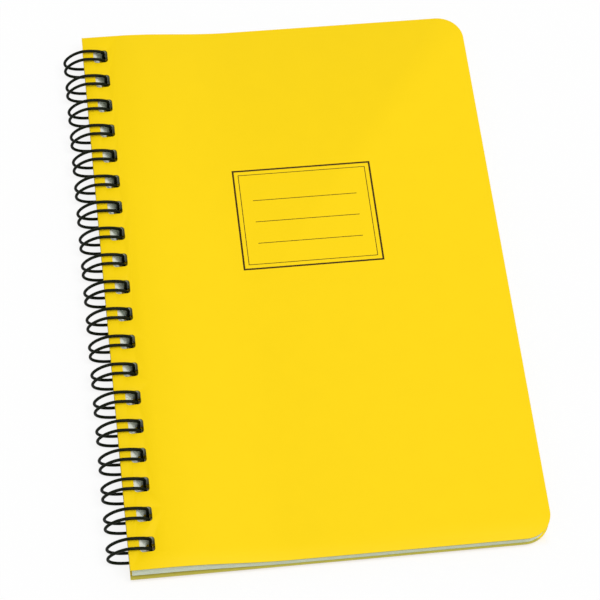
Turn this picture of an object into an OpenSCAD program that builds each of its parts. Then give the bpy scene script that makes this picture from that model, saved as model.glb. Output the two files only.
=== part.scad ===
// Small notebook bound along its left long side with one twin-loop wire.
// The covers and leaves are punched with the same row of holes. Each loop is a hairpin
// of two wires that closes behind the last leaf, where short bars join it to the next loop.

/* [Covers] */
// Width of a cover, from the spine edge to the fore edge
cover_w = 117.5; // [70:0.5:160]
// Height of a cover, from tail to head
cover_h = 177.8; // [100:0.1:240]
// Thickness of the cover card
cover_t = 0.4; // [0.3:0.05:0.5]
// Radius of the rounded corners at the fore edge
corner_r = 7.8; // [2:0.1:12]

/* [Leaves] */
// Thickness of the leaves pressed together, at the fore edge
block_t = 3; // [1.5:0.1:3.4]
// Thickness of the leaves where they stand loose on the wire
block_spine_t = 4.15; // [3.5:0.05:4.3]
// How far the leaves stay behind the covers at head, tail and fore edge
leaf_inset = 0.5; // [0.2:0.1:2]
// How far the leaves stay behind the covers at the spine edge
leaf_spine_inset = 0.5; // [0.3:0.1:1]
// Air between the leaves and the covers at the fore edge
leaf_gap = 0.1; // [0.05:0.05:0.3]

/* [Strip at the spine] */
// Width of the flat strip that carries the holes
strip_w = 11; // [9:0.5:16]
// Width over which the sheets bend down from the strip
bend_w = 34; // [15:1:50]
// Air between the strip of the front cover and the leaves
strip_gap = 0.25; // [0.15:0.05:0.3]
// Room for the closed seam between the leaves and the back cover
seam_gap = 1.3; // [1.3:0.05:1.8]

/* [Holes] */
// Width of a punched hole, across the spine
hole_w = 4.24; // [4.1:0.02:4.6]
// Height of a punched hole, along the spine
hole_h = 4.4; // [4.3:0.05:5]
// Radius of a hole's rounded corners
hole_corner_r = 0.9; // [0.3:0.1:1.2]
// Distance of the hole centres from the spine edge
hole_x = 5.22; // [5.1:0.01:5.35]
// Distance between neighbouring hole centres
loop_pitch = 9.056; // [8:0.001:12]
// Smallest distance of an end hole's centre from head or tail
end_margin = 7.3; // [5:0.1:15]

/* [Twin-loop wire] */
// Diameter of the coated wire
wire_d = 0.9; // [0.6:0.05:1]
// Distance between the two wires of a loop, centre to centre
pair_gap = 3; // [2.4:0.1:3.2]
// How far the loops reach out past the spine edge, to the wire's centre
loop_reach = 5.75; // [5.6:0.01:7]
// Height of the loops' top over the front cover, to the wire's centre
loop_rise = 1.22; // [0.7:0.01:3]
// Depth of the loops' foot under the back cover, to the wire's centre
loop_drop = 1.66; // [0.7:0.01:3]
// Depth of the loops' widest point under the front cover's face
loop_waist = 4.43; // [3.5:0.01:4.7]
// Distance of the loops' highest point from the spine edge
top_x = 0.6; // [0:0.01:1.5]
// Distance of the loops' lowest point from the spine edge
foot_x = 0.67; // [0:0.01:1.5]
// Fullness of the upper left of a loop (2 is an ellipse)
round_top = 1.68; // [1.6:0.01:2.6]
// Fullness of the lower left of a loop
round_foot = 2.32; // [1.8:0.01:2.6]
// Fullness of the bend down into the front cover's hole
round_tip = 2.04; // [1.8:0.01:4]
// Fullness of the bend up into the back cover's hole
round_root = 2.7; // [2:0.1:4]
// Distance of the loop's closed tip from the spine edge
tip_x = 6.2; // [6:0.05:6.4]
// Distance of the seam bars from the spine edge
root_x = 4.31; // [4.2:0.01:4.6]
// Radius of the small bends between a loop's root and the seam bars
root_bend_r = 0.6; // [0.5:0.05:0.9]

/* [Hidden] */

wire_r = wire_d / 2;
// The origin stands under the middle of the whole thing, so the spine edge lies left of it
spine_x = -(cover_w - loop_reach - wire_r) / 2;
back_z0 = wire_r + loop_drop;
back_z1 = back_z0 + cover_t;
leaf_spine_z0 = back_z1 + seam_gap;
leaf_spine_z1 = leaf_spine_z0 + block_spine_t;
front_spine_z0 = leaf_spine_z1 + strip_gap;
front_top = front_spine_z0 + cover_t;
leaf_fore_z0 = back_z1 + leaf_gap;
leaf_fore_z1 = leaf_fore_z0 + block_t;
front_fore_z0 = leaf_fore_z1 + leaf_gap;
loop_count = floor((cover_h - 2 * end_margin) / loop_pitch + 0.001) + 1;
first_y = -loop_pitch * (loop_count - 1) / 2;
seam_z = back_z1 + seam_gap / 2;
seam_tip_z = back_z1 + wire_r + 0.15;
through = 2;
bend_steps = 16;
wire_sides = 8;
$fn = 48;

// Height of a sheet's face at distance x from the spine edge, easing down behind the strip
function ease(x) = let (u = min(1, max(0, (x - strip_w) / bend_w))) (1 - cos(180 * u)) / 2;
function face_z(x, spine_z, fore_z) = spine_z + (fore_z - spine_z) * ease(x);
function stations(x0, x1) = concat([x0], [for (i = [0:bend_steps]) strip_w + bend_w * i / bend_steps], [x1]);

// Outline of a sheet seen from above: square at the spine, rounded at the fore edge
module sheet_outline(x0, x1, half_h, r) {
    translate([x0, -half_h]) square([x1 - x0 - r, 2 * half_h]);
    translate([x0, r - half_h]) square([x1 - x0, 2 * (half_h - r)]);
    for (side = [-1, 1]) {
        translate([x1 - r, side * (half_h - r)]) circle(r = r);
    }
}

// One punched hole: nearly square, with rounded corners
module hole_outline() {
    flat_w = hole_w - 2 * hole_corner_r;
    flat_h = hole_h - 2 * hole_corner_r;
    square([hole_w, flat_h], center = true);
    square([flat_w, hole_h], center = true);
    for (sx = [-1, 1], sy = [-1, 1]) {
        translate([sx * flat_w / 2, sy * flat_h / 2]) circle(r = hole_corner_r);
    }
}

// The row of holes through a sheet between two heights
module hole_row(z0, z1) {
    for (i = [0:loop_count - 1]) {
        translate([spine_x + hole_x, first_y + i * loop_pitch, z0])
            linear_extrude(height = z1 - z0) hole_outline();
    }
}

// A sheet or a stack of sheets, bent along the spine, cut to its outline and punched
module sheet(x0, x1, half_h, r, low, high) {
    xs = stations(x0, x1);
    lower = [for (x = xs) [x, face_z(x, low[0], low[1])]];
    upper = [for (i = [len(xs) - 1:-1:0]) [xs[i], face_z(xs[i], high[0], high[1])]];
    z0 = min(low[0], low[1]);
    z1 = max(high[0], high[1]);
    difference() {
        intersection() {
            translate([spine_x, half_h + through, 0])
                rotate([90, 0, 0]) linear_extrude(height = 2 * (half_h + through)) polygon(concat(lower, upper));
            translate([spine_x, 0, z0 - through])
                linear_extrude(height = z1 - z0 + 2 * through) sheet_outline(x0, x1, half_h, r);
        }
        hole_row(low[0] - through, high[0] + through);
    }
}

module front_cover() {
    color("gold")
        sheet(0, cover_w, cover_h / 2, corner_r,
            [front_spine_z0, front_fore_z0], [front_top, front_fore_z0 + cover_t]);
}

module page_block() {
    color("honeydew")
        sheet(leaf_spine_inset, cover_w - leaf_inset, cover_h / 2 - leaf_inset, corner_r - leaf_inset,
            [leaf_spine_z0, leaf_fore_z0], [leaf_spine_z1, leaf_fore_z1]);
}

module back_cover() {
    color("gold")
        sheet(0, cover_w, cover_h / 2, corner_r, [back_z0, back_z0], [back_z1, back_z1]);
}

// A quarter of a fullness curve round the centre c with the half axes h, as [x, z] points
function full(v, n) = sign(v) * pow(abs(v), 2 / n);
function quarter(c, h, n, a0, a1, steps) = [for (i = [1:steps])
    let (a = a0 + (a1 - a0) * i / steps) [c[0] + h[0] * full(cos(a), n), c[1] + h[1] * full(sin(a), n)]];

// Side view of one wire of a loop, from the seam under the back cover to above the closed tip
plunge_z = front_top - 0.6;
waist_z = front_top - loop_waist;
top_z = front_top + loop_rise;
climb_z = seam_z - root_bend_r;
loop_side = concat(
    quarter([foot_x, climb_z], [root_x - foot_x, climb_z - wire_r], round_root, 360, 270, 3),
    quarter([foot_x, waist_z], [loop_reach + foot_x, waist_z - wire_r], round_foot, 270, 180, 4),
    quarter([top_x, waist_z], [loop_reach + top_x, top_z - waist_z], round_top, 180, 90, 5),
    quarter([top_x, plunge_z], [tip_x - top_x, top_z - plunge_z], round_tip, 90, 0, 4)
);

// One loop: up from the seam on one side, over, round the closed tip and back again
half_pair = pair_gap / 2;
tip_z = seam_tip_z + half_pair;
root_turn = [for (a = [0, 90]) [root_x, root_bend_r * (1 - sin(a)), seam_z - root_bend_r * (1 - cos(a))]];
one_side = concat(
    [for (p = root_turn) [p[0], -half_pair - p[1], p[2]]],
    [for (p = loop_side) [p[0], -half_pair, p[1]]]
);
tip_turn = [for (i = [0:4]) let (a = 180 + 45 * i) [tip_x, half_pair * cos(a), tip_z + half_pair * sin(a)]];
way_back = [for (i = [len(one_side) - 1:-1:0]) [one_side[i][0], -one_side[i][1], one_side[i][2]]];
one_loop = concat(one_side, tip_turn, way_back);
wire_path = [for (i = [0:loop_count - 1], p = one_loop) [spine_x + p[0], first_y + i * loop_pitch + p[1], p[2]]];

// Round wire swept along the path, with its section carried on from point to point without twist
function unit(v) = v / norm(v);
function heading(p, i) = unit(p[min(i + 1, len(p) - 1)] - p[max(i - 1, 0)]);
function carried(n, t) = unit(n - t * (n * t));
module swept_wire(p, r, sides) {
    last = len(p) - 1;
    across = [for (i = 0, n = carried([1, 0, 0], heading(p, 0)); i <= last;
        i = i + 1, n = i <= last ? carried(n, heading(p, i)) : n) n];
    points = [for (i = [0:last], k = [0:sides - 1])
        let (t = heading(p, i), u = across[i], w = cross(t, u), a = 360 * k / sides)
        p[i] + r * (cos(a) * u + sin(a) * w)];
    walls = [for (i = [0:last - 1], k = [0:sides - 1])
        let (a = i * sides + k, b = i * sides + (k + 1) % sides)
        [a, a + sides, b + sides, b]];
    ends = [[for (k = [0:sides - 1]) k], [for (k = [sides - 1:-1:0]) last * sides + k]];
    polyhedron(points = points, faces = concat(walls, ends), convexity = 20);
}

module binding_wire() {
    color("darkslategray") swept_wire(wire_path, wire_r, wire_sides);
}

front_cover();
page_block();
back_cover();
binding_wire();
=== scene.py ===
import math
import random

import bmesh
import bpy
from mathutils import Matrix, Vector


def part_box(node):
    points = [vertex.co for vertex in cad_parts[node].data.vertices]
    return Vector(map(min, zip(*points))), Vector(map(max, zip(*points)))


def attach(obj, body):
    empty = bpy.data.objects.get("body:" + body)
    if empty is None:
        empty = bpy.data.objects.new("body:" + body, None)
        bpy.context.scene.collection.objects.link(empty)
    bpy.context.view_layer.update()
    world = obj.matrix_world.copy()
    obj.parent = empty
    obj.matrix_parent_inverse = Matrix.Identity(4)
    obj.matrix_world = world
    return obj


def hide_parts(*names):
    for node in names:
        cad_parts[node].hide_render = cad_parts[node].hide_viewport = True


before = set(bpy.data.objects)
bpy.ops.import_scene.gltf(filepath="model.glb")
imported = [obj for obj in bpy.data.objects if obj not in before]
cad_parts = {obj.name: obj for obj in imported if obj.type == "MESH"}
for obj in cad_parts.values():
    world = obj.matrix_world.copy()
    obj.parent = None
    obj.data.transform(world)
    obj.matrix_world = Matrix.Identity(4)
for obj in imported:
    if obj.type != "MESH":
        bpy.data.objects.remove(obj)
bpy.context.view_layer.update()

# Front cover: one sheet of coated yellow card, square at the spine and rounded at the fore
# edge. It is cut and punched flat, and then bends down behind the strip that sits on the wire.
# The print is on its outer face only. Painted shade: the outer face is a deeper yellow along the strip by
# the spine, the inner face a duller yellow, and the edges and the inner face's rim at head and tail olive.
MM = 0.001
COVER_LOW, COVER_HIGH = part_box("front_cover")
SPINE_X = COVER_LOW.x
COVER_WIDTH = COVER_HIGH.x - COVER_LOW.x
HALF_HEIGHT = COVER_HIGH.y
COVER_THICKNESS = 0.4 * MM
FRONT_SPINE_Z = COVER_HIGH.z - COVER_THICKNESS / 2
FRONT_FORE_Z = COVER_LOW.z + COVER_THICKNESS / 2
CORNER_RADIUS = 7.8 * MM
CORNER_STEPS = 14
CUT_EDGE_SOFTNESS = 0.07 * MM
STRIP_WIDTH = 11 * MM
BEND_WIDTH = 34 * MM
BEND_CUTS = 40
LOOP_COUNT = 19
LOOP_PITCH = 9.056 * MM
HOLE_X = 5.22 * MM
HOLE_WIDTH = 4.24 * MM
HOLE_HEIGHT = 4.4 * MM
HOLE_CORNER_RADIUS = 0.9 * MM
HOLE_CORNER_STEPS = 6
SAME_POINT = 0.0001 * MM
ON_THE_CUT = 0.00001 * MM
EVEN_WITHIN = math.radians(0.5)
SHEET_SHARP_FROM = 35
FACE_UP = 0.9
EDGE_UP = 0.8

COVER_YELLOW = (0.96, 0.67, 0.004, 1)
# Painted shade: the outer face's yellow is a little deeper along the level strip by the spine.
STRIP_SHADE_YELLOW = (0.925, 0.645, 0.001, 1)
STRIP_SHADE_WIDTH = 22 * MM
# Painted shade: the inner face is a duller yellow than the outer, and its edges and its rim at head and tail
# are olive.
INNER_SHADE_YELLOW = (0.88, 0.63, 0.01, 1)
SHADE_OLIVE = (0.5, 0.44, 0.07, 1)
SHADE_RIM = 1.4 * MM
PRINT_BROWN = (0.045, 0.022, 0.002, 1)
CARD_MOTTLE_SCALE = 140
CARD_MOTTLE = 0.015
CARD_ROUGHNESS = 0.42
CARD_ROUGHNESS_SCALE = 900
CARD_ROUGHNESS_SWING = 0.12
CARD_SHINE = 0.12
CARD_GRAIN_SCALE = 3200
CARD_GRAIN_DEPTH = 0.012 * MM
CARD_GRAIN_STRENGTH = 0.35

PANEL_CENTRE = (6 * MM, 21 * MM)
PANEL_SIZE = (41 * MM, 34 * MM)
PANEL_RULE = 0.55 * MM
PANEL_FINE_RULE = 0.22 * MM
PANEL_INSET = 1.5 * MM
WRITING_LINES = 3
WRITING_LINE_LENGTH = 31 * MM
WRITING_LINE_STEP = 7.4 * MM
WRITING_LINES_DROP = 1 * MM


def arc(centre_x, centre_y, radius, start, stop, steps):
    angles = [math.radians(start + (stop - start) * i / steps) for i in range(steps + 1)]
    return [(centre_x + radius * math.cos(a), centre_y + radius * math.sin(a)) for a in angles]


def sheet_outline(x0, x1, half_height, radius):
    low, high = radius - half_height, half_height - radius
    return (
        [(x0, half_height), (x0, -half_height)]
        + arc(x1 - radius, low, radius, -90, 0, CORNER_STEPS)
        + arc(x1 - radius, high, radius, 0, 90, CORNER_STEPS)
    )


def hole_outline(centre_y, shift):
    flat_x = HOLE_WIDTH / 2 - HOLE_CORNER_RADIUS
    flat_y = HOLE_HEIGHT / 2 - HOLE_CORNER_RADIUS
    centre_x = SPINE_X + HOLE_X + shift
    points = []
    for quarter, (side_x, side_y) in enumerate([(1, 1), (-1, 1), (-1, -1), (1, -1)]):
        points += arc(centre_x + side_x * flat_x, centre_y + side_y * flat_y, HOLE_CORNER_RADIUS,
                      90 * quarter, 90 * quarter + 90, HOLE_CORNER_STEPS)
    return points


def hole_rows():
    return [(i - (LOOP_COUNT - 1) / 2) * LOOP_PITCH for i in range(LOOP_COUNT)]


def punched_sheet(x0, x1, half_height, radius, thickness, softness, hole_shift=0.0):
    """A flat sheet with its holes, its middle at height 0, cut across where it will bend."""
    flat = bpy.data.curves.new("flat_sheet", "CURVE")
    flat.dimensions = "2D"
    flat.fill_mode = "BOTH"
    flat.extrude = thickness / 2 - softness
    if softness:
        flat.bevel_depth = softness
        flat.bevel_resolution = 1
        flat.offset = -softness
    holes = [hole_outline(y, hole_shift) for y in hole_rows()]
    for outline in [sheet_outline(x0, x1, half_height, radius)] + holes:
        spline = flat.splines.new("POLY")
        spline.points.add(len(outline) - 1)
        for point, (x, y) in zip(spline.points, outline):
            point.co = (x, y, 0, 1)
        spline.use_cyclic_u = True
    holder = bpy.data.objects.new("flat_sheet", flat)
    mesh = bpy.data.meshes.new_from_object(holder)
    bpy.data.objects.remove(holder)
    bpy.data.curves.remove(flat)
    cut = bmesh.new()
    cut.from_mesh(mesh)
    bmesh.ops.remove_doubles(cut, verts=cut.verts, dist=SAME_POINT)
    bmesh.ops.dissolve_limit(cut, angle_limit=EVEN_WITHIN, verts=cut.verts, edges=cut.edges)
    for i in range(BEND_CUTS + 1):
        x = SPINE_X + STRIP_WIDTH + BEND_WIDTH * i / BEND_CUTS
        everything = cut.verts[:] + cut.edges[:] + cut.faces[:]
        bmesh.ops.bisect_plane(cut, geom=everything, plane_co=(x, 0, 0), plane_no=(1, 0, 0),
                               dist=ON_THE_CUT)
    cut.to_mesh(mesh)
    cut.free()
    return mesh


def bend_share(x):
    share = min(1, max(0, (x - SPINE_X - STRIP_WIDTH) / BEND_WIDTH))
    return (1 - math.cos(math.pi * share)) / 2


def lay(mesh, spine_z, fore_z):
    """Lifts a flat sheet so that its middle is at spine_z by the wire and at fore_z beyond the bend."""
    for vertex in mesh.vertices:
        vertex.co.z += spine_z + (fore_z - spine_z) * bend_share(vertex.co.x)


def soft_shading(mesh, sharp_from):
    for polygon in mesh.polygons:
        polygon.use_smooth = True
    mesh.set_sharp_from_angle(angle=math.radians(sharp_from))


def cover_mesh(spine_z, fore_z):
    mesh = punched_sheet(SPINE_X, SPINE_X + COVER_WIDTH, HALF_HEIGHT, CORNER_RADIUS,
                         COVER_THICKNESS, CUT_EDGE_SOFTNESS)
    lay(mesh, spine_z, fore_z)
    soft_shading(mesh, SHEET_SHARP_FROM)
    return mesh


def face_outer_side(mesh, up):
    """Gives the second material to the outer face. The inner face and the edges keep the first."""
    for polygon in mesh.polygons:
        polygon.material_index = 1 if polygon.normal.z * up > FACE_UP else 0


def new_piece(name, mesh, *materials):
    piece = bpy.data.objects.new(name, mesh)
    bpy.context.scene.collection.objects.link(piece)
    for material in materials:
        mesh.materials.append(material)
    return piece


class Recipe:
    """A material's nodes, each made and wired in one call."""

    def __init__(self, name):
        self.material = bpy.data.materials.new(name)
        self.material.use_nodes = True
        self.tree = self.material.node_tree
        self.shader = self.tree.nodes["Principled BSDF"]

    def node(self, kind, settings=(), inputs=()):
        made = self.tree.nodes.new(kind)
        for key, value in dict(settings).items():
            setattr(made, key, value)
        for key, value in dict(inputs).items():
            self.feed(made.inputs[key], value)
        return made

    def feed(self, socket, value):
        if isinstance(value, bpy.types.NodeSocket):
            self.tree.links.new(value, socket)
        else:
            socket.default_value = value

    def place(self):
        return self.node("ShaderNodeTexCoord").outputs["Object"]

    def apart(self, vector):
        """The X, Y and Z of a place or a direction, each by itself."""
        return self.node("ShaderNodeSeparateXYZ", {}, {0: vector}).outputs

    def facing(self):
        return self.apart(self.node("ShaderNodeTexCoord").outputs["Normal"])

    def reckon(self, operation, *values):
        return self.node("ShaderNodeMath", {"operation": operation}, dict(enumerate(values))).outputs[0]

    def noise(self, scale, detail, stretch=(1, 1, 1)):
        spread = self.node("ShaderNodeMapping", {}, {"Vector": self.place(), "Scale": stretch})
        return self.node("ShaderNodeTexNoise", {},
                         {"Vector": spread.outputs[0], "Scale": scale, "Detail": detail}).outputs["Fac"]

    def blend(self, share, first, second):
        mixed = self.node("ShaderNodeMix", {"data_type": "RGBA"})
        self.feed(mixed.inputs["Factor"], share)
        self.feed(mixed.inputs["A"], first)
        self.feed(mixed.inputs["B"], second)
        return mixed.outputs["Result"]

    def cloud(self, share, colour, swing):
        """The colour, a little darker where share is 0 and a little lighter where it is 1."""
        darker, lighter = [[part * factor for part in colour[:3]] + [1] for factor in (1 - swing, 1 + swing)]
        return self.blend(share, darker, lighter)

    def bump(self, height, distance, strength):
        bumped = self.node("ShaderNodeBump", {},
                           {"Height": height, "Distance": distance, "Strength": strength})
        self.feed(self.shader.inputs["Normal"], bumped.outputs[0])


def card_recipe(name, yellow):
    """Card: an even colour with a faint mottle, and the fine grain of its surface."""
    card = Recipe(name)
    card.colour = card.cloud(card.noise(CARD_MOTTLE_SCALE, 3), yellow, CARD_MOTTLE)
    roughness = card.reckon("MULTIPLY_ADD", card.noise(CARD_ROUGHNESS_SCALE, 2),
                            CARD_ROUGHNESS_SWING, CARD_ROUGHNESS)
    card.feed(card.shader.inputs["Base Color"], card.colour)
    card.feed(card.shader.inputs["Roughness"], roughness)
    card.feed(card.shader.inputs["Specular IOR Level"], CARD_SHINE)
    card.bump(card.noise(CARD_GRAIN_SCALE, 3), CARD_GRAIN_DEPTH, CARD_GRAIN_STRENGTH)
    return card


def inner_recipe():
    """The inner face and the cut edges: a duller yellow, and olive on the edges and on a rim at head and
    tail, all painted shade.
    """
    card = card_recipe("inner_card", INNER_SHADE_YELLOW)
    from_middle = card.reckon("ABSOLUTE", card.apart(card.place())["Y"])
    on_rim = card.reckon("GREATER_THAN", from_middle, HALF_HEIGHT - SHADE_RIM)
    on_edge = card.reckon("LESS_THAN", card.reckon("ABSOLUTE", card.facing()["Z"]), EDGE_UP)
    # Painted shade: olive on every edge and on the rim at head and tail.
    dull = card.reckon("MAXIMUM", on_rim, on_edge)
    card.feed(card.shader.inputs["Base Color"], card.blend(dull, card.colour, SHADE_OLIVE))
    return card.material


def printed_recipe():
    """The outer face, with a plain double frame and blank writing lines printed on it, and painted shade: a
    deeper yellow along the strip by the spine.
    """
    card = card_recipe("printed_card", COVER_YELLOW)
    spot = card.apart(card.place())
    away_x = card.reckon("ABSOLUTE", card.reckon("SUBTRACT", spot["X"], PANEL_CENTRE[0]))
    away_y = card.reckon("ABSOLUTE", card.reckon("SUBTRACT", spot["Y"], PANEL_CENTRE[1]))

    def inked(distance, width):
        return card.reckon("LESS_THAN", card.reckon("ABSOLUTE", distance), width / 2)

    def frame_line(inset, width):
        over_x = card.reckon("SUBTRACT", away_x, PANEL_SIZE[0] / 2 - inset)
        over_y = card.reckon("SUBTRACT", away_y, PANEL_SIZE[1] / 2 - inset)
        return inked(card.reckon("MAXIMUM", over_x, over_y), width)

    ink = card.reckon("MAXIMUM", frame_line(0, PANEL_RULE), frame_line(PANEL_INSET, PANEL_FINE_RULE))
    within = card.reckon("LESS_THAN", away_x, WRITING_LINE_LENGTH / 2)
    middle_y = PANEL_CENTRE[1] - WRITING_LINES_DROP
    for i in range(WRITING_LINES):
        line_y = middle_y + (i - (WRITING_LINES - 1) / 2) * WRITING_LINE_STEP
        rule = inked(card.reckon("SUBTRACT", spot["Y"], line_y), PANEL_FINE_RULE)
        ink = card.reckon("MAXIMUM", ink, card.reckon("MULTIPLY", rule, within))
    # Painted shade: the yellow is deeper at the spine and eases into the card's own colour further out.
    off_strip = card.node("ShaderNodeMapRange", {"interpolation_type": "SMOOTHSTEP"},
                          {"Value": spot["X"], "From Min": SPINE_X, "From Max": SPINE_X + STRIP_SHADE_WIDTH})
    ground = card.blend(off_strip.outputs["Result"], STRIP_SHADE_YELLOW, card.colour)
    card.feed(card.shader.inputs["Base Color"], card.blend(ink, ground, PRINT_BROWN))
    return card.material


inner_card = inner_recipe()
front = new_piece("front_cover_sheet", cover_mesh(FRONT_SPINE_Z, FRONT_FORE_Z), inner_card, printed_recipe())
face_outer_side(front.data, 1)
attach(front, "front_cover")
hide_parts("front_cover")

# Leaves: a stack of loose ruled sheets, punched like the covers and a little smaller. They are
# pressed together at the fore edge and stand slightly apart where the wire holds them up, and
# they hang on the wire a little askew, so the holes of the lower leaves sit further in.
LEAF_LOW, LEAF_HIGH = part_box("page_block")
LEAF_COUNT = 32
LEAF_INSET = 0.5 * MM
LEAF_THICKNESS = 0.088 * MM
STACK_AT_SPINE = 4.15 * MM
STACK_AT_FORE_EDGE = 3 * MM
LEAF_SPINE_BOTTOM = LEAF_HIGH.z - STACK_AT_SPINE
LEAF_FORE_TOP = LEAF_LOW.z + STACK_AT_FORE_EDGE
LEAF_JITTER = 0.09 * MM
LEAF_SHUFFLE = 7
HOLE_SHIFT_TOP = 0.35 * MM
HOLE_SHIFT_BOTTOM = 1.8 * MM
HOLE_SHIFT_EASE = 0.7
LEAF_FACE_WHITE = (0.8, 0.83, 0.75, 1)
# Painted shade: the leaves' edges are coloured darker than their faces.
LEAF_EDGE_SHADE_GREEN = (0.57, 0.65, 0.45, 1)
LEAF_RULE_GREY = (0.36, 0.47, 0.42, 1)
RULE_STEP = 7.1 * MM
RULE_WIDTH = 0.2 * MM
RULED_ROWS = 21
PAPER_FIBRE_SCALE = 420
PAPER_FIBRE_STRETCH = (1, 3, 1)
PAPER_CLOUDS = 0.03
PAPER_ROUGHNESS = 0.85
PAPER_SHINE = 0.2
PAPER_GRAIN_SCALE = 2600
PAPER_GRAIN_DEPTH = 0.01 * MM
PAPER_GRAIN_STRENGTH = 0.5


def paper_recipe():
    """Uncoated paper: cloudy fibres, faint rules on the faces of each leaf, and painted shade on the leaves'
    edges.
    """
    paper = Recipe("leaf_paper")
    fibres = paper.noise(PAPER_FIBRE_SCALE, 4, PAPER_FIBRE_STRETCH)
    face_tone = paper.cloud(fibres, LEAF_FACE_WHITE, PAPER_CLOUDS)
    # Painted shade: the edges take the darker colour, and the faces keep the paper's own.
    edge_shade_tone = paper.cloud(fibres, LEAF_EDGE_SHADE_GREEN, PAPER_CLOUDS)
    on_face = paper.reckon("GREATER_THAN", paper.reckon("ABSOLUTE", paper.facing()["Z"]), FACE_UP)
    up_the_page = paper.apart(paper.place())["Y"]
    rule = paper.reckon("LESS_THAN", paper.reckon("PINGPONG", up_the_page, RULE_STEP / 2), RULE_WIDTH / 2)
    ruled = paper.reckon("LESS_THAN", paper.reckon("ABSOLUTE", up_the_page), RULED_ROWS / 2 * RULE_STEP)
    inked = paper.reckon("MULTIPLY", paper.reckon("MULTIPLY", rule, ruled), on_face)
    sheet_tone = paper.blend(on_face, edge_shade_tone, face_tone)
    paper.feed(paper.shader.inputs["Base Color"], paper.blend(inked, sheet_tone, LEAF_RULE_GREY))
    paper.feed(paper.shader.inputs["Roughness"], PAPER_ROUGHNESS)
    paper.feed(paper.shader.inputs["Specular IOR Level"], PAPER_SHINE)
    paper.bump(paper.noise(PAPER_GRAIN_SCALE, 4), PAPER_GRAIN_DEPTH, PAPER_GRAIN_STRENGTH)
    return paper.material


random.seed(LEAF_SHUFFLE)
stack = bmesh.new()
for i in range(LEAF_COUNT):
    share = (i + 0.5) / LEAF_COUNT
    hole_shift = HOLE_SHIFT_TOP + (HOLE_SHIFT_BOTTOM - HOLE_SHIFT_TOP) * (1 - share) ** HOLE_SHIFT_EASE
    leaf = punched_sheet(LEAF_LOW.x, LEAF_HIGH.x - LEAF_JITTER, LEAF_HIGH.y - LEAF_JITTER,
                         CORNER_RADIUS - LEAF_INSET, LEAF_THICKNESS, 0.0, hole_shift)
    lay(leaf, LEAF_SPINE_BOTTOM + (LEAF_HIGH.z - LEAF_SPINE_BOTTOM) * share,
        LEAF_LOW.z + (LEAF_FORE_TOP - LEAF_LOW.z) * share)
    slip = (LEAF_JITTER * random.random(), LEAF_JITTER * random.uniform(-1, 1), 0)
    leaf.transform(Matrix.Translation(slip))
    stack.from_mesh(leaf)
    bpy.data.meshes.remove(leaf)
leaves_mesh = bpy.data.meshes.new("leaves")
stack.to_mesh(leaves_mesh)
stack.free()
soft_shading(leaves_mesh, SHEET_SHARP_FROM)
leaves = new_piece("leaves", leaves_mesh, paper_recipe())
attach(leaves, "leaves_and_wire")
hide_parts("page_block")

# Back cover: the same card as the front, left flat and without print, with the same row of
# holes. It carries the whole stack, and the closed seam of the wire lies on its inner face.
BACK_LOW, BACK_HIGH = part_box("back_cover")
BACK_Z = (BACK_LOW.z + BACK_HIGH.z) / 2
outer_card = card_recipe("outer_card", COVER_YELLOW).material
back = new_piece("back_cover_sheet", cover_mesh(BACK_Z, BACK_Z), inner_card, outer_card)
face_outer_side(back.data, -1)
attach(back, "back_cover")
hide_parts("back_cover")

# Binding wire: one length of coated steel wire, bent into a row of hairpin loops and closed
# round the punched sheets. The closed tips lie beside the bars that join the loops' roots.
WIRE_RADIUS = 0.45 * MM
HALF_PAIR = 1.5 * MM
LOOP_REACH = 5.75 * MM
LOOP_RISE = 1.22 * MM
WAIST_DEPTH = 4.43 * MM
TOP_X = 0.6 * MM
FOOT_X = 0.67 * MM
ROUND_TOP = 1.68
ROUND_FOOT = 2.32
ROUND_TIP = 2.04
ROUND_ROOT = 2.7
TIP_X = 6.2 * MM
ROOT_X = 4.31 * MM
ROOT_BEND = 0.6 * MM
PLUNGE_DEPTH = 0.6 * MM
SEAM_LIFT = 0.65 * MM
TIP_LIFT = 0.6 * MM
BEND_POINTS = 12
ROOT_BEND_POINTS = 4
TIP_BEND_POINTS = 12
WIRE_ROUNDNESS = 4
WIRE_SHARP_FROM = 60
WIRE_BLACK_GREEN = (0.005, 0.007, 0.002, 1)
COAT_CLOUD_SCALE = 700
COAT_CLOUDS = 0.3
COAT_ROUGHNESS = 0.3
COAT_ROUGHNESS_SCALE = 1500
COAT_ROUGHNESS_SWING = 0.14
COAT_SHINE = 0.06
COAT_GRAIN_SCALE = 2200
COAT_GRAIN_DEPTH = 0.02 * MM
COAT_GRAIN_STRENGTH = 0.3


def fullness(value, power):
    return math.copysign(abs(value) ** (2 / power), value)


def quarter_turn(centre_x, centre_z, end_x, end_z, power, start, stop):
    """A quarter of a full curve round a centre, between its points at end_x and at end_z."""
    angles = [math.radians(start + (stop - start) * i / BEND_POINTS) for i in range(1, BEND_POINTS + 1)]
    return [(centre_x + abs(end_x - centre_x) * fullness(math.cos(a), power),
             centre_z + abs(end_z - centre_z) * fullness(math.sin(a), power)) for a in angles]


def loop_side():
    """Side view of one wire of a loop, from its root in the seam to above its closed tip."""
    climb = BACK_HIGH.z + SEAM_LIFT - ROOT_BEND
    waist = COVER_HIGH.z - WAIST_DEPTH
    top = COVER_HIGH.z + LOOP_RISE
    plunge = COVER_HIGH.z - PLUNGE_DEPTH
    return (
        quarter_turn(FOOT_X, climb, ROOT_X, WIRE_RADIUS, ROUND_ROOT, 360, 270)
        + quarter_turn(FOOT_X, waist, -LOOP_REACH, WIRE_RADIUS, ROUND_FOOT, 270, 180)
        + quarter_turn(TOP_X, waist, -LOOP_REACH, top, ROUND_TOP, 180, 90)
        + quarter_turn(TOP_X, plunge, TIP_X, top, ROUND_TIP, 90, 0)
    )


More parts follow.
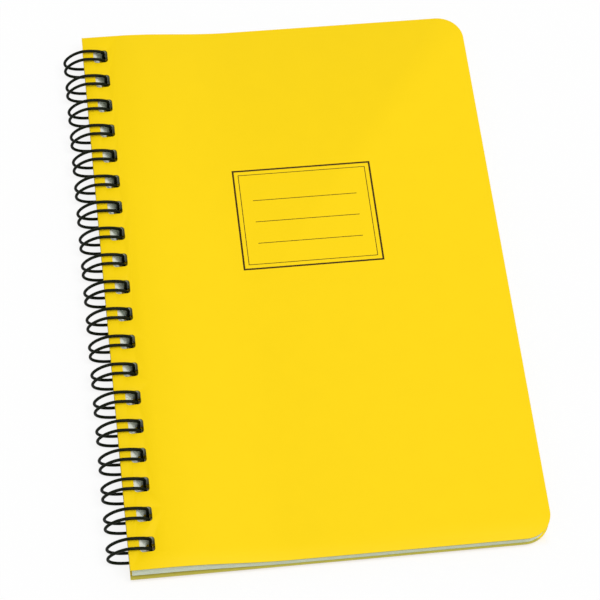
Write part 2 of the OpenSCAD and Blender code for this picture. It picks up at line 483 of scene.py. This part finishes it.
def one_loop():
    """From the root, up and over, round the closed tip and back. x counts from the spine edge."""
    seam = BACK_HIGH.z + SEAM_LIFT
    turns = [math.radians(90 * i / ROOT_BEND_POINTS) for i in range(ROOT_BEND_POINTS + 1)]
    root = [(ROOT_X, -HALF_PAIR - ROOT_BEND * (1 - math.sin(a)), seam - ROOT_BEND * (1 - math.cos(a)))
            for a in turns]
    side = root + [(x, -HALF_PAIR, z) for x, z in loop_side()]
    tip = [(TIP_X, y, z) for y, z in arc(0, BACK_HIGH.z + TIP_LIFT + HALF_PAIR, HALF_PAIR,
                                         180, 360, TIP_BEND_POINTS)]
    return side + tip + [(x, -y, z) for x, y, z in reversed(side)]


def wire_recipe():
    """Dark polymer coating on steel wire: smooth and half glossy, with a faint unevenness."""
    coat = Recipe("wire_coating")
    tone = coat.cloud(coat.noise(COAT_CLOUD_SCALE, 2), WIRE_BLACK_GREEN, COAT_CLOUDS)
    roughness = coat.reckon("MULTIPLY_ADD", coat.noise(COAT_ROUGHNESS_SCALE, 2),
                            COAT_ROUGHNESS_SWING, COAT_ROUGHNESS)
    coat.feed(coat.shader.inputs["Base Color"], tone)
    coat.feed(coat.shader.inputs["Roughness"], roughness)
    coat.feed(coat.shader.inputs["Specular IOR Level"], COAT_SHINE)
    coat.bump(coat.noise(COAT_GRAIN_SCALE, 2), COAT_GRAIN_DEPTH, COAT_GRAIN_STRENGTH)
    return coat.material


path = [(SPINE_X + x, row + y, z) for row in hole_rows() for x, y, z in one_loop()]
sweep = bpy.data.curves.new("binding_wire", "CURVE")
sweep.dimensions = "3D"
sweep.twist_mode = "MINIMUM"
sweep.bevel_depth = WIRE_RADIUS
sweep.bevel_resolution = WIRE_ROUNDNESS
sweep.use_fill_caps = True
spline = sweep.splines.new("POLY")
spline.points.add(len(path) - 1)
for point, place in zip(spline.points, path):
    point.co = (*place, 1)
holder = bpy.data.objects.new("binding_wire_path", sweep)
wire_mesh = bpy.data.meshes.new_from_object(holder)
bpy.data.objects.remove(holder)
soft_shading(wire_mesh, WIRE_SHARP_FROM)
wire = new_piece("twin_loop_wire", wire_mesh, wire_recipe())
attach(wire, "leaves_and_wire")
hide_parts("binding_wire")

# Studio: a white table, even light from all round and one broad lamp above, leaning to the
# fore edge and the tail. The table looks lit up to the camera, but not under the notebook. The
# camera's place, turn and lens are worked out from where the cover's corners lie in the picture.
TABLE_HALF = 3000 * MM
TABLE_WHITE = (0.94, 0.94, 0.94, 1)
TABLE_ROUGHNESS = 0.9
TABLE_GLOW = 0.85
SHADE_EDGE = 2.5 * MM
PURE_WHITE = (1, 1, 1, 1)
SKY_STRENGTH = 0.48
LAMP_STRENGTH = 1.84
LAMP_TILT = (math.radians(14), math.radians(16), 0)
LAMP_SPREAD = math.radians(36)
CAMERA_PLACE = (-69.925 * MM, -365.345 * MM, 637.469 * MM)
CAMERA_TURN = (29.9079, -2.5378, -6.7238)
CAMERA_LENS = 150.81
CAMERA_FILM_WIDTH = 36
CAMERA_NEAREST = 50 * MM
CAMERA_FURTHEST = 20000 * MM


def seen_share(tree):
    """1 for what the camera sees, also by way of a shiny or clear surface, and 0 for mere light."""
    rays = tree.nodes.new("ShaderNodeLightPath")
    share = rays.outputs["Is Camera Ray"]
    for other in ("Is Glossy Ray", "Is Transmission Ray"):
        larger = tree.nodes.new("ShaderNodeMath")
        larger.operation = "MAXIMUM"
        tree.links.new(share, larger.inputs[0])
        tree.links.new(rays.outputs[other], larger.inputs[1])
        share = larger.outputs[0]
    return share


def table_recipe():
    """A dull white that takes the shadow, mixed with a glow that stops short under the notebook."""
    table = Recipe("white_table")
    table.feed(table.shader.inputs["Base Color"], TABLE_WHITE)
    table.feed(table.shader.inputs["Roughness"], TABLE_ROUGHNESS)
    table.feed(table.shader.inputs["Specular IOR Level"], 0.0)
    glow = table.node("ShaderNodeEmission", {}, {"Color": PURE_WHITE, "Strength": 1})
    spot = table.apart(table.place())
    away_x = table.reckon("ABSOLUTE", table.reckon("SUBTRACT", spot["X"], SPINE_X + COVER_WIDTH / 2))
    over_x = table.reckon("SUBTRACT", away_x, COVER_WIDTH / 2)
    over_y = table.reckon("SUBTRACT", table.reckon("ABSOLUTE", spot["Y"]), HALF_HEIGHT)
    outside = table.reckon("MAXIMUM", over_x, over_y)
    beside = table.node("ShaderNodeMapRange", {},
                        {"Value": outside, "From Min": -SHADE_EDGE, "From Max": 0.0})
    lit_share = table.reckon("MULTIPLY", beside.outputs["Result"], TABLE_GLOW)
    share = table.reckon("MULTIPLY", seen_share(table.tree), lit_share)
    surface = table.node("ShaderNodeMixShader", {},
                         {0: share, 1: table.shader.outputs[0], 2: glow.outputs[0]})
    table.feed(table.tree.nodes["Material Output"].inputs["Surface"], surface.outputs[0])
    return table.material


table_mesh = bpy.data.meshes.new("table")
corners = [(-TABLE_HALF, -TABLE_HALF, 0), (TABLE_HALF, -TABLE_HALF, 0),
           (TABLE_HALF, TABLE_HALF, 0), (-TABLE_HALF, TABLE_HALF, 0)]
table_mesh.from_pydata(corners, [], [(0, 1, 2, 3)])
new_piece("table", table_mesh, table_recipe())

sky = bpy.data.worlds.new("studio")
sky.use_nodes = True
background = sky.node_tree.nodes["Background"]
background.inputs["Color"].default_value = PURE_WHITE
bright = sky.node_tree.nodes.new("ShaderNodeMapRange")
bright.inputs["To Min"].default_value = SKY_STRENGTH
bright.inputs["To Max"].default_value = 1
sky.node_tree.links.new(seen_share(sky.node_tree), bright.inputs["Value"])
sky.node_tree.links.new(bright.outputs["Result"], background.inputs["Strength"])
bpy.context.scene.world = sky

lamp_data = bpy.data.lights.new("broad_lamp", "SUN")
lamp_data.energy = LAMP_STRENGTH
lamp_data.angle = LAMP_SPREAD
lamp = bpy.data.objects.new("broad_lamp", lamp_data)
lamp.rotation_euler = LAMP_TILT
bpy.context.scene.collection.objects.link(lamp)

camera_data = bpy.data.cameras.new("camera")
camera_data.lens = CAMERA_LENS
camera_data.sensor_width = CAMERA_FILM_WIDTH
camera_data.clip_start = CAMERA_NEAREST
camera_data.clip_end = CAMERA_FURTHEST
camera = bpy.data.objects.new("camera", camera_data)
camera.location = CAMERA_PLACE
camera.rotation_euler = [math.radians(angle) for angle in CAMERA_TURN]
bpy.context.scene.collection.objects.link(camera)
bpy.context.scene.camera = camera
bpy.context.scene.view_settings.view_transform = "Standard"
